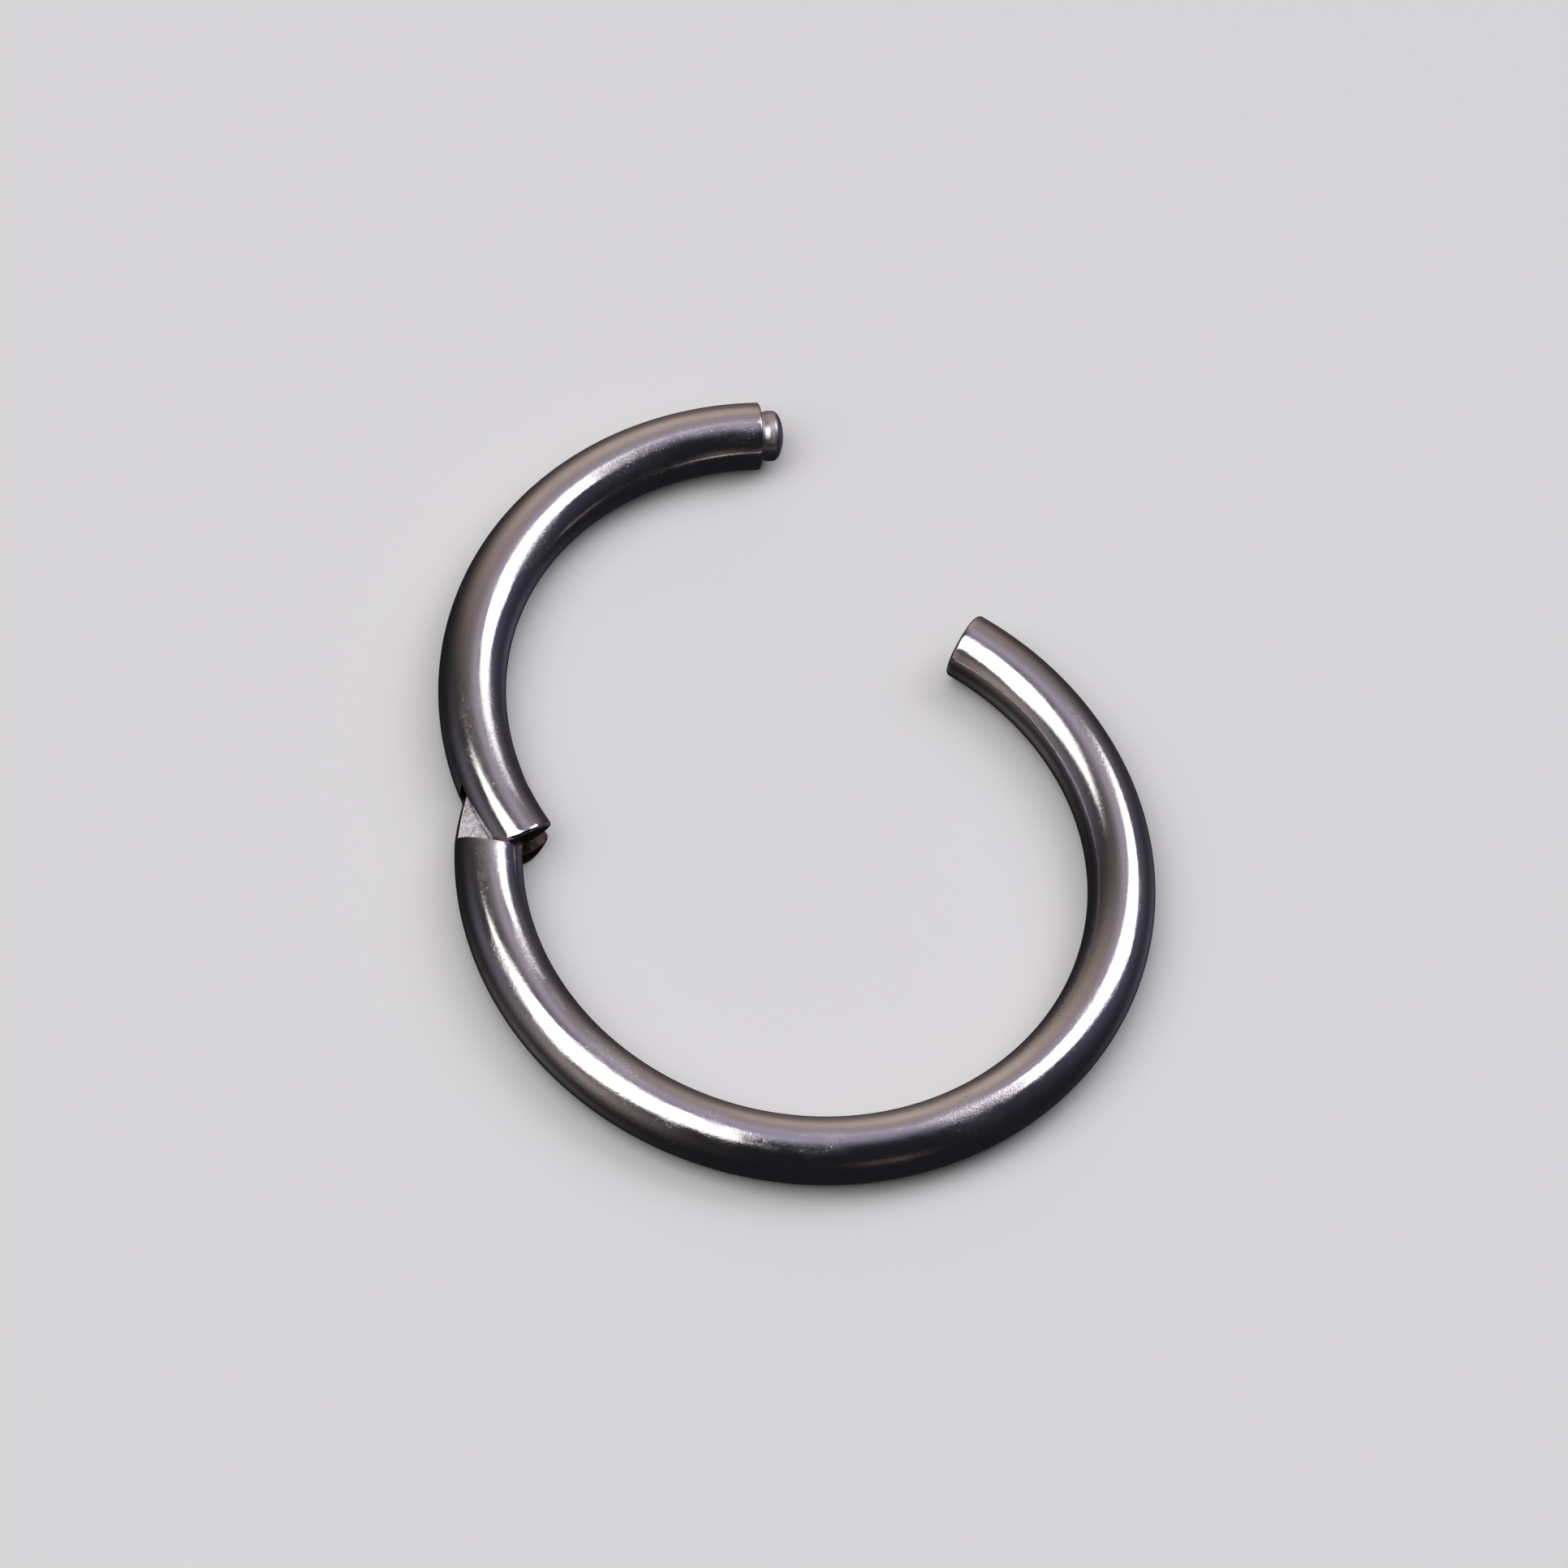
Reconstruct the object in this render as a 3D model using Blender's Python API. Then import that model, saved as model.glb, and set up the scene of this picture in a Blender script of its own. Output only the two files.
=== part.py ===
"""Segment ring: a hoop of polished wire in two arcs, joined by a tongue hinge and closed by a stub in a socket."""
import math

import bmesh
import bpy
from mathutils import Matrix, Vector

MM = 0.001

# Ring and wire. The ring lies flat: its axis is +Z and the hinge is on the -X side of its centre.
INSIDE_DIAMETER = 10.0 * MM
WIRE_DIAMETER = 1.2 * MM
# Direction of the mouth's end face, seen from the ring's centre, counter-clockwise from +X.
MOUTH_ANGLE = math.radians(72.0)
# Gap left between the two end faces when the ring is shut.
MOUTH_GAP = 0.03 * MM
# How far the short arc is swung out of the ring at rest, which is also where it stops.
OPEN_ANGLE = math.radians(35.0)

# Hinge: a tongue on the long arc sits in a slot in the short arc, and a pin goes through both.
TONGUE_THICKNESS = 0.40 * MM
SLOT_CLEARANCE = 0.02 * MM
SHOULDER_RADIUS = 1.215 * MM
END_CLEARANCE = 0.065 * MM
STOP_GAP = 0.02 * MM
PIN_DIAMETER = 0.48 * MM
PIN_CLEARANCE = 0.02 * MM
PIN_END_DEPTH = 0.02 * MM

# Locking stub: a narrow neck, a full body and a domed end.
STUB_DIAMETER = 0.90 * MM
STUB_LENGTH = 0.42 * MM
NECK_DIAMETER = 0.84 * MM
NECK_LENGTH = 0.06 * MM
NECK_FLARE = 0.06 * MM
DOME_LENGTH = 0.18 * MM
DOME_FLAT = 0.30
DOME_STEPS = 4

# Socket: the room that the stub sweeps as it swings in, with a notch in the outer wall where it enters.
SOCKET_CLEARANCE = 0.03 * MM
SOCKET_OVERRUN = 0.10 * MM
NOTCH_WIDTH = 0.56 * MM
NOTCH_DEPTH = 0.16 * MM

# Meshing
WIRE_SIDES = 24
LONG_STEPS = 58
SHORT_STEPS = 26
ARC_STEPS = 20
PIN_SIDES = 24
SHARP_ANGLE = math.radians(32.0)
# Neighbouring faces of the socket's shape that differ by less than this become one.
FLAT_ANGLE = math.radians(0.5)
# How far a cutter runs past what it cuts.
OVERRUN = 0.5 * MM

# Sizes that follow from the ones above
WIRE_RADIUS = WIRE_DIAMETER / 2
RING_RADIUS = INSIDE_DIAMETER / 2 + WIRE_RADIUS
# The wire is drawn with a flat underneath, so its centre is one flat's distance above the floor.
WIRE_HEIGHT = WIRE_RADIUS * math.cos(math.pi / WIRE_SIDES)
PIVOT = Vector((-RING_RADIUS, 0.0, 0.0))
PIVOT_ANGLE = math.pi
HALF_TONGUE = TONGUE_THICKNESS / 2
HALF_SLOT = HALF_TONGUE + SLOT_CLEARANCE
TONGUE_RADIUS = WIRE_RADIUS
# The slot's corners reach this far behind the pin: there they meet the tongue's edge at the open angle.
STOP_REACH = (WIRE_RADIUS * (1 - math.cos(OPEN_ANGLE)) + STOP_GAP) / math.sin(OPEN_ANGLE)
SLOT_ROOT_RADIUS = math.hypot(WIRE_RADIUS, STOP_REACH)
# The ears' end is round about the pin, so that it passes along the hollow shoulder.
EAR_RADIUS = SHOULDER_RADIUS - END_CLEARANCE
PIN_RADIUS = PIN_DIAMETER / 2
PIN_HOLE_RADIUS = PIN_RADIUS + PIN_CLEARANCE
STUB_RADIUS = STUB_DIAMETER / 2
NECK_RADIUS = NECK_DIAMETER / 2
CUT_HALF_WIDTH = SHOULDER_RADIUS + OVERRUN
CUT_HALF_HEIGHT = WIRE_RADIUS + OVERRUN


def outward(angle):
    """Unit vector that points away from the ring's centre at an angle."""
    return Vector((math.cos(angle), math.sin(angle), 0.0))


def new_object(name, mesh_data):
    """Turns a bmesh into an object with its faces pointing out."""
    bmesh.ops.recalc_face_normals(mesh_data, faces=mesh_data.faces)
    mesh = bpy.data.meshes.new(name)
    mesh_data.to_mesh(mesh)
    mesh_data.free()
    made = bpy.data.objects.new(name, mesh)
    bpy.context.scene.collection.objects.link(made)
    return made


def section_ring(mesh_data, centre, out_direction, radius, sides):
    """Adds one closed loop of points around a centre, in the plane of the out direction and +Z."""
    points = []
    for side in range(sides):
        turn = (side + 0.5) * 2 * math.pi / sides
        offset = out_direction * (radius * math.cos(turn)) + Vector((0.0, 0.0, radius * math.sin(turn)))
        points.append(mesh_data.verts.new(centre + offset))
    return points


def skin(mesh_data, rings):
    """Joins each loop to the next with four-sided faces and closes both ends."""
    for near, far in zip(rings, rings[1:]):
        count = len(near)
        for side in range(count):
            after = (side + 1) % count
            mesh_data.faces.new((near[side], near[after], far[after], far[side]))
    mesh_data.faces.new(rings[0])
    mesh_data.faces.new(rings[-1])


def stub_profile():
    """Distances out of the end face and radii of the stub, from its root to its tip."""
    body_end = STUB_LENGTH - DOME_LENGTH
    profile = [(0.0, NECK_RADIUS), (NECK_LENGTH, NECK_RADIUS)]
    profile.append((NECK_LENGTH + NECK_FLARE, STUB_RADIUS))
    widest_turn = math.acos(DOME_FLAT)
    for step in range(DOME_STEPS + 1):
        turn = widest_turn * step / DOME_STEPS
        distance = body_end + DOME_LENGTH * math.sin(turn) / math.sin(widest_turn)
        profile.append((distance, STUB_RADIUS * math.cos(turn)))
    return profile


def wire_arc(name, start, end, steps, profile):
    """Builds an arc of round wire about the ring's centre, with a turned stub on its first end."""
    mesh_data = bmesh.new()
    rings = []
    direction = outward(start)
    ahead = Vector((math.sin(start), -math.cos(start), 0.0))
    root = direction * RING_RADIUS + Vector((0.0, 0.0, WIRE_HEIGHT))
    for distance, radius in reversed(profile):
        rings.append(section_ring(mesh_data, root + ahead * distance, direction, radius, WIRE_SIDES))
    for step in range(steps + 1):
        angle = start + (end - start) * step / steps
        direction = outward(angle)
        centre = direction * RING_RADIUS + Vector((0.0, 0.0, WIRE_HEIGHT))
        rings.append(section_ring(mesh_data, centre, direction, WIRE_RADIUS, WIRE_SIDES))
    skin(mesh_data, rings)
    return new_object(name, mesh_data)


def add_prism(mesh_data, outline, bottom, top):
    """Adds an upright block with the given plan outline."""
    low = [mesh_data.verts.new((point.x, point.y, bottom)) for point in outline]
    high = [mesh_data.verts.new((point.x, point.y, top)) for point in outline]
    skin(mesh_data, [low, high])


def cutter(name, mesh_data, piece):
    """Takes a shape away from a piece and keeps the shape as a hidden child of the piece."""
    tool = new_object(name, mesh_data)
    tool.hide_render = True
    tool.display_type = 'WIRE'
    tool.parent = piece
    cut = piece.modifiers.new(name, 'BOOLEAN')
    cut.operation = 'DIFFERENCE'
    cut.solver = 'EXACT'
    cut.object = tool


def arc_points(radius, start, end, centre):
    """Plan points along an arc about a centre."""
    points = []
    for step in range(ARC_STEPS + 1):
        angle = start + (end - start) * step / ARC_STEPS
        points.append(centre + outward(angle) * radius)
    return points


def shoulder_shape():
    """The room above and below the tongue: hollow and round towards the long arc, open the other way."""
    outline = arc_points(SHOULDER_RADIUS, math.pi, 2 * math.pi, PIVOT)
    outline.append(PIVOT + Vector((SHOULDER_RADIUS, CUT_HALF_WIDTH, 0.0)))
    outline.append(PIVOT + Vector((-SHOULDER_RADIUS, CUT_HALF_WIDTH, 0.0)))
    mesh_data = bmesh.new()
    add_prism(mesh_data, outline, WIRE_HEIGHT + HALF_TONGUE, WIRE_HEIGHT + CUT_HALF_HEIGHT)
    add_prism(mesh_data, outline, WIRE_HEIGHT - CUT_HALF_HEIGHT, WIRE_HEIGHT - HALF_TONGUE)
    return mesh_data


def tongue_end_shape():
    """The room beyond the tongue's round end."""
    outline = arc_points(TONGUE_RADIUS, math.pi, 0.0, PIVOT)
    outline.append(PIVOT + Vector((CUT_HALF_WIDTH, 0.0, 0.0)))
    outline.append(PIVOT + Vector((CUT_HALF_WIDTH, CUT_HALF_WIDTH, 0.0)))
    outline.append(PIVOT + Vector((-CUT_HALF_WIDTH, CUT_HALF_WIDTH, 0.0)))
    outline.append(PIVOT + Vector((-CUT_HALF_WIDTH, 0.0, 0.0)))
    mesh_data = bmesh.new()
    add_prism(mesh_data, outline, WIRE_HEIGHT - CUT_HALF_HEIGHT, WIRE_HEIGHT + CUT_HALF_HEIGHT)
    return mesh_data


def slot_shape(origin):
    """The slot for the tongue: hollow and round towards the short arc, open the other way."""
    outline = arc_points(SLOT_ROOT_RADIUS, 0.0, math.pi, origin)
    outline.append(origin + Vector((-CUT_HALF_WIDTH, 0.0, 0.0)))
    outline.append(origin + Vector((-CUT_HALF_WIDTH, -CUT_HALF_WIDTH, 0.0)))
    outline.append(origin + Vector((CUT_HALF_WIDTH, -CUT_HALF_WIDTH, 0.0)))
    outline.append(origin + Vector((CUT_HALF_WIDTH, 0.0, 0.0)))
    mesh_data = bmesh.new()
    add_prism(mesh_data, outline, WIRE_HEIGHT - HALF_SLOT, WIRE_HEIGHT + HALF_SLOT)
    return mesh_data


def ear_end_shape(origin):
    """The room beyond the ears' round end."""
    outline = arc_points(EAR_RADIUS, math.pi, 2 * math.pi, origin)
    outline.append(origin + Vector((CUT_HALF_WIDTH, 0.0, 0.0)))
    outline.append(origin + Vector((CUT_HALF_WIDTH, -CUT_HALF_WIDTH, 0.0)))
    outline.append(origin + Vector((-CUT_HALF_WIDTH, -CUT_HALF_WIDTH, 0.0)))
    outline.append(origin + Vector((-CUT_HALF_WIDTH, 0.0, 0.0)))
    mesh_data = bmesh.new()
    add_prism(mesh_data, outline, WIRE_HEIGHT - CUT_HALF_HEIGHT, WIRE_HEIGHT + CUT_HALF_HEIGHT)
    return mesh_data


def pin_hole_shape(origin):
    """The upright hole for the pin."""
    outline = []
    for side in range(PIN_SIDES):
        outline.append(origin + outward(2 * math.pi * side / PIN_SIDES) * PIN_HOLE_RADIUS)
    mesh_data = bmesh.new()
    add_prism(mesh_data, outline, WIRE_HEIGHT - CUT_HALF_HEIGHT, WIRE_HEIGHT + CUT_HALF_HEIGHT)
    return mesh_data


def socket_shape(tip_angle):
    """The room that the stub sweeps while it swings into the mouth, with clearance all round."""
    direction = outward(tip_angle)
    ahead = Vector((math.sin(tip_angle), -math.cos(tip_angle), 0.0))
    root = direction * RING_RADIUS + Vector((0.0, 0.0, WIRE_HEIGHT))
    lever = root - PIVOT
    # The stub leaves along the circle about the pivot, so this much turn frees all of its length.
    leave = Vector((-lever.y, lever.x, 0.0)).normalized()
    travel = (STUB_LENGTH + SOCKET_CLEARANCE + SOCKET_OVERRUN) / -leave.dot(ahead)
    swing = Matrix.Rotation(travel / Vector((lever.x, lever.y, 0.0)).length, 4, 'Z')
    profile = [(-SOCKET_OVERRUN, STUB_RADIUS + SOCKET_CLEARANCE)]
    for distance, radius in stub_profile()[2:]:
        profile.append((distance + SOCKET_CLEARANCE, radius + SOCKET_CLEARANCE))
    mesh_data = bmesh.new()
    for distance, radius in profile:
        for vertex in section_ring(mesh_data, root + ahead * distance, direction, radius, WIRE_SIDES):
            swung = PIVOT + swing @ (vertex.co - PIVOT)
            mesh_data.verts.new(swung)
    hull = bmesh.ops.convex_hull(mesh_data, input=mesh_data.verts)
    inside = [item for item in hull["geom_interior"] if isinstance(item, bmesh.types.BMVert)]
    bmesh.ops.delete(mesh_data, geom=inside, context='VERTS')
    bmesh.ops.dissolve_limit(mesh_data, angle_limit=FLAT_ANGLE, verts=mesh_data.verts, edges=mesh_data.edges)
    return mesh_data


def notch_shape():
    """The notch in the mouth's outer wall, where the stub comes in from the side."""
    direction = outward(MOUTH_ANGLE)
    inward_arc = Vector((math.sin(MOUTH_ANGLE), -math.cos(MOUTH_ANGLE), 0.0))
    start = direction * RING_RADIUS
    outline = []
    for across, deep in ((0.0, -OVERRUN), (CUT_HALF_HEIGHT, -OVERRUN), (CUT_HALF_HEIGHT, NOTCH_DEPTH)):
        outline.append(start + direction * across + inward_arc * deep)
    outline.append(start + inward_arc * NOTCH_DEPTH)
    mesh_data = bmesh.new()
    add_prism(mesh_data, outline, WIRE_HEIGHT - NOTCH_WIDTH / 2, WIRE_HEIGHT + NOTCH_WIDTH / 2)
    return mesh_data


def steel(name, colour, roughness):
    """A plain metal material."""
    material = bpy.data.materials.new(name)
    material.use_nodes = True
    surface = material.node_tree.nodes["Principled BSDF"]
    surface.inputs["Base Color"].default_value = (*colour, 1.0)
    surface.inputs["Roughness"].default_value = roughness
    surface.inputs["Metallic"].default_value = 1.0
    return material


def finish(piece, material):
    """Gives a piece its material and smooth shading with sharp cut edges."""
    piece.data.materials.append(material)
    piece.data.shade_smooth()
    piece.data.set_sharp_from_angle(angle=SHARP_ANGLE)


def build_long_segment(tip_angle):
    """The fixed arc, from the tongue round to the mouth."""
    spare = (TONGUE_RADIUS + OVERRUN / 2) / RING_RADIUS
    full_turn = 2 * math.pi
    piece = wire_arc("long_segment", MOUTH_ANGLE, PIVOT_ANGLE - spare - full_turn, LONG_STEPS, [])
    finish(piece, steel("long_segment_steel", (0.62, 0.60, 0.61), 0.22))
    cutter("shoulder_cutter", shoulder_shape(), piece)
    cutter("tongue_end_cutter", tongue_end_shape(), piece)
    cutter("tongue_hole_cutter", pin_hole_shape(PIVOT), piece)
    cutter("socket_cutter", socket_shape(tip_angle), piece)
    cutter("notch_cutter", notch_shape(), piece)
    return piece


def build_hinged_segment(tip_angle):
    """The swinging arc, with its origin on the hinge's axis."""
    spare = (EAR_RADIUS + OVERRUN / 2) / RING_RADIUS
    piece = wire_arc("hinged_segment", tip_angle, PIVOT_ANGLE + spare, SHORT_STEPS, stub_profile())
    piece.data.transform(Matrix.Translation(-PIVOT))
    finish(piece, steel("hinged_segment_steel", (0.64, 0.62, 0.63), 0.20))
    piece.location = PIVOT
    piece.rotation_euler.z = OPEN_ANGLE
    origin = Vector((0.0, 0.0, 0.0))
    cutter("ear_end_cutter", ear_end_shape(origin), piece)
    cutter("slot_cutter", slot_shape(origin), piece)
    cutter("ear_hole_cutter", pin_hole_shape(origin), piece)
    return piece


def build_hinge_pin():
    """The pin, which turns with the short arc; its ends are slightly domed and lie just under the surface."""
    crown = WIRE_RADIUS - PIN_END_DEPTH
    edge = math.sqrt(WIRE_RADIUS ** 2 - PIN_RADIUS ** 2) - PIN_END_DEPTH
    half = PIN_RADIUS / 2
    shoulder = math.sqrt(WIRE_RADIUS ** 2 - half ** 2) - PIN_END_DEPTH
    levels = [(-crown, half / 2), (-shoulder, half), (-edge, PIN_RADIUS)]
    levels += [(edge, PIN_RADIUS), (shoulder, half), (crown, half / 2)]
    mesh_data = bmesh.new()
    rings = []
    for height, radius in levels:
        ring = []
        for side in range(PIN_SIDES):
            point = outward(2 * math.pi * side / PIN_SIDES) * radius
            ring.append(mesh_data.verts.new((point.x, point.y, WIRE_HEIGHT + height)))
        rings.append(ring)
    skin(mesh_data, rings)
    piece = new_object("hinge_pin", mesh_data)
    finish(piece, steel("hinge_pin_steel", (0.55, 0.54, 0.54), 0.30))
    piece.location = PIVOT
    piece.rotation_euler.z = OPEN_ANGLE
    return piece


def stand_at_origin(pieces):
    """Moves all pieces together so that the middle of their footprint is the world's origin."""
    graph = bpy.context.evaluated_depsgraph_get()
    points = []
    for piece in pieces:
        shown = piece.evaluated_get(graph)
        points += [shown.matrix_world @ vertex.co for vertex in shown.data.vertices]
    middle_x = (min(point.x for point in points) + max(point.x for point in points)) / 2
    middle_y = (min(point.y for point in points) + max(point.y for point in points)) / 2
    lowest = min(point.z for point in points)
    for piece in pieces:
        piece.location -= Vector((middle_x, middle_y, lowest))


def main():
    """Clears the scene and builds the ring."""
    for old in list(bpy.data.objects):
        bpy.data.objects.remove(old)
    tip_angle = MOUTH_ANGLE + MOUTH_GAP / RING_RADIUS
    pieces = [build_long_segment(tip_angle), build_hinged_segment(tip_angle), build_hinge_pin()]
    bpy.context.view_layer.update()
    stand_at_origin(pieces)


main()
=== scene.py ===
"""Looks of the segment ring: two arcs of polished wire, a tongue hinge, and a stub that fits a socket."""
import logging
import math
from dataclasses import dataclass, field
from enum import Enum
from typing import Mapping, Sequence

import bmesh
import bpy
from mathutils import Matrix, Vector


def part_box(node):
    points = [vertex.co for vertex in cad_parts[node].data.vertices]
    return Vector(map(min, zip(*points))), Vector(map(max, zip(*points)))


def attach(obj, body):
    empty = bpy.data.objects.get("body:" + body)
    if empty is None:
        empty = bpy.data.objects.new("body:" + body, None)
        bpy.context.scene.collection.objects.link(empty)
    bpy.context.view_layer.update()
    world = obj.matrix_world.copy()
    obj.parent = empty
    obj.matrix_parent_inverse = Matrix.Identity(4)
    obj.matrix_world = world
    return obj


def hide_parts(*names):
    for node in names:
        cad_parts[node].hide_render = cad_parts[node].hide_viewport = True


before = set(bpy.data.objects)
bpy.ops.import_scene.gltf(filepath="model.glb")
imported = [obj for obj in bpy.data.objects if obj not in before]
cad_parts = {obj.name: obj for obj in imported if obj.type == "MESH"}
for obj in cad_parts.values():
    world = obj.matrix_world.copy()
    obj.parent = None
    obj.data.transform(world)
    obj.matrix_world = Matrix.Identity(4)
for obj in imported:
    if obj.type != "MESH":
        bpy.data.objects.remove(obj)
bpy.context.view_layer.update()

LOG = logging.getLogger("segment_ring")
MM = 0.001
MICRON = 0.000001

# Sizes of the hinge and the mouth, as the solids have them, with the slot's reach rounded. Reaches are
# measured from the hinge's axis.
MOUTH_TURN = math.radians(252.0)
MOUTH_GAP = 0.03 * MM
TONGUE_HALF = 0.20 * MM
TONGUE_REACH = 0.60 * MM
SHOULDER_REACH = 1.215 * MM
SLOT_HALF = 0.22 * MM
SLOT_REACH = 0.6405 * MM
EAR_REACH = 1.15 * MM


class Finish(Enum):
    """Which finish a face has, and with it which material slot."""

    POLISHED = 0
    CUT = 1
    TURNED = 2


class Link(Enum):
    """Names of the two bodies of the ring."""

    LONG = "long_arc"
    SHORT = "short_arc"


# Shader expressions


@dataclass(frozen=True)
class Signal:
    """A number, vector or colour that varies over a surface, carried by one socket."""

    graph: "Graph"
    socket: bpy.types.NodeSocket

    def __add__(self, other: "Signal | float") -> "Signal":
        """This plus another."""
        return self.graph.math("ADD", self, other)

    def __radd__(self, other: float) -> "Signal":
        """Another plus this."""
        return self.graph.math("ADD", other, self)

    def __sub__(self, other: "Signal | float") -> "Signal":
        """This less another."""
        return self.graph.math("SUBTRACT", self, other)

    def __rsub__(self, other: float) -> "Signal":
        """Another less this."""
        return self.graph.math("SUBTRACT", other, self)

    def __mul__(self, other: "Signal | float") -> "Signal":
        """This times another."""
        return self.graph.math("MULTIPLY", self, other)

    def __rmul__(self, other: float) -> "Signal":
        """Another times this."""
        return self.graph.math("MULTIPLY", other, self)

    def __truediv__(self, other: "Signal | float") -> "Signal":
        """This over another."""
        return self.graph.math("DIVIDE", self, other)

    def rise(self, low: float, high: float) -> "Signal":
        """Smooth step of this number.

        Args:
            low: Where the step is still 0.
            high: Where it has reached 1.

        Returns:
            A mask from 0 to 1.
        """
        node = self.graph.add(
            "ShaderNodeMapRange",
            {"interpolation_type": "SMOOTHSTEP"},
            {"Value": self, "From Min": low, "From Max": high},
        )
        return Signal(self.graph, node.outputs["Result"])


@dataclass(frozen=True)
class Cloud:
    """A layer of noise over the wire.

    It has its clouds per millimetre, how many finer layers and how strong each is, where it is read,
    how it is drawn out along the wire, and between which values its mask rises.
    """

    scale: float
    layers: float
    fine: float = 0.5
    shift: float = 0.0
    stretch: float = 1.0
    low: float = 0.0
    high: float = 1.0


class Graph:
    """The nodes of one material or of the world."""

    # Numbers of sockets on the Vector Math and Mix nodes.
    SCALE_IN = 3
    VALUE_OUT = 1
    FIRST_COLOUR = 6
    SECOND_COLOUR = 7
    COLOUR_OUT = 2

    def __init__(self, tree: bpy.types.NodeTree) -> None:
        """Keeps the node tree that nodes are added to."""
        self.tree = tree

    def add(
        self,
        kind: str,
        settings: Mapping[str, object] | None = None,
        inputs: Mapping[str | int, object] | None = None,
    ) -> bpy.types.Node:
        """Adds a node.

        Args:
            kind: The node's type.
            settings: Its options, set first.
            inputs: Values or signals of its sockets, by name or number.

        Returns:
            The node.
        """
        node = self.tree.nodes.new(kind)
        for name, value in (settings or {}).items():
            setattr(node, name, value)
        for key, value in (inputs or {}).items():
            if isinstance(value, Signal):
                self.tree.links.new(value.socket, node.inputs[key])
            else:
                node.inputs[key].default_value = value
        return node

    def math(self, operation: str, *operands: Signal | float) -> Signal:
        """Adds one Math node.

        Args:
            operation: The node's operation.
            operands: Its numbers, in order.

        Returns:
            Its result.
        """
        node = self.add("ShaderNodeMath", {"operation": operation}, dict(enumerate(operands)))
        return Signal(self, node.outputs[0])

    def arrow(self, x: Signal | float, y: Signal | float, z: Signal | float) -> Signal:
        """Joins three numbers into a vector."""
        return Signal(self, self.add("ShaderNodeCombineXYZ", None, {0: x, 1: y, 2: z}).outputs[0])

    def parts(self, vector: Signal) -> tuple[Signal, Signal, Signal]:
        """Splits a vector into its three numbers."""
        node = self.add("ShaderNodeSeparateXYZ", None, {0: vector})
        return Signal(self, node.outputs[0]), Signal(self, node.outputs[1]), Signal(self, node.outputs[2])

    def noise(self, spot: tuple[Signal, Signal, Signal], cloud: Cloud, seed: float) -> Signal:
        """Adds a layer of noise.

        Args:
            spot: Distances along the wire, out and up.
            cloud: What the layer is like.
            seed: Which of many alike it is: how far from the first one it is read.

        Returns:
            A number around 0.5.
        """
        along, out, up = spot
        start = seed + cloud.shift
        place = self.arrow(along * cloud.stretch, out, up)
        moved = self.vector("ADD", place, (start, 2.0 * start, 3.0 * start))
        inputs = {"Vector": moved, "Scale": cloud.scale, "Detail": cloud.layers, "Roughness": cloud.fine}
        return Signal(self, self.add("ShaderNodeTexNoise", None, inputs).outputs[0])

    def mask(self, spot: tuple[Signal, Signal, Signal], cloud: Cloud, seed: float) -> Signal:
        """The same layer as a mask: 0 up to its low value and 1 from its high one."""
        return self.noise(spot, cloud, seed).rise(cloud.low, cloud.high)

    def vector(self, operation: str, first: object, second: object) -> Signal:
        """Adds one Vector Math node.

        Args:
            operation: The node's operation.
            first: Its first vector.
            second: Its second vector, or the number to scale by.

        Returns:
            Its result: a number for a dot product, else a vector.
        """
        other = self.SCALE_IN if operation == "SCALE" else 1
        node = self.add("ShaderNodeVectorMath", {"operation": operation}, {0: first, other: second})
        return Signal(self, node.outputs[self.VALUE_OUT if operation == "DOT_PRODUCT" else 0])

    def blend(self, mask: Signal, first: object, second: object) -> Signal:
        """Mixes two colours.

        Args:
            mask: 0 where the first shows and 1 where the second does.
            first: A colour or a signal that carries one.
            second: The other.

        Returns:
            The mixed colour.
        """
        inputs = {0: mask, self.FIRST_COLOUR: first, self.SECOND_COLOUR: second}
        node = self.add("ShaderNodeMix", {"data_type": "RGBA"}, inputs)
        return Signal(self, node.outputs[self.COLOUR_OUT])


# The ring's own line


@dataclass(frozen=True)
class Hoop:
    """The circle that the wire follows. Turns go about its centre from the hinge, towards the long arc."""

    pivot: Vector
    height: float
    radius: float = 5.6 * MM
    wire: float = 0.6 * MM

    @property
    def centre(self) -> Vector:
        """The ring's centre, at the floor."""
        return Vector((self.pivot.x + self.radius, self.pivot.y, 0.0))

    def point(self, turn: float, out: float, up: float) -> Vector:
        """A point beside the wire's centre line.

        Args:
            turn: Angle from the hinge.
            out: Distance away from the ring's centre, past the centre line.
            up: Distance above the centre line.

        Returns:
            The point.
        """
        angle = math.pi + turn
        reach = self.radius + out
        return self.centre + Vector((reach * math.cos(angle), reach * math.sin(angle), self.height + up))

    def turn_at(self, out: float, reach: float) -> float:
        """Turn at which a line beside the wire is a given distance from the hinge's axis.

        Args:
            out: How far out the line is.
            reach: Distance from the hinge's axis.

        Returns:
            The turn, from 0 up.
        """
        side = self.radius + out
        cosine = (side ** 2 + self.radius ** 2 - reach ** 2) / (2 * self.radius * side)
        return math.acos(max(-1.0, min(1.0, cosine)))

    def around_pivot(self, angle: float, reach: float, up: float) -> Vector:
        """A point beside the hinge's axis.

        Args:
            angle: Angle about the axis, from +X.
            reach: Distance from the axis.
            up: Distance above the wire's centre line.

        Returns:
            The point.
        """
        east = self.pivot.x + reach * math.cos(angle)
        north = self.pivot.y + reach * math.sin(angle)
        return Vector((east, north, self.height + up))


def spread(first: float, last: float, steps: int) -> list[float]:
    """Evenly spaced numbers.

    Args:
        first: The first number.
        last: The last number.
        steps: How many spaces lie between them.

    Returns:
        One more number than there are spaces.
    """
    return [first + (last - first) * step / steps for step in range(steps + 1)]


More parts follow.
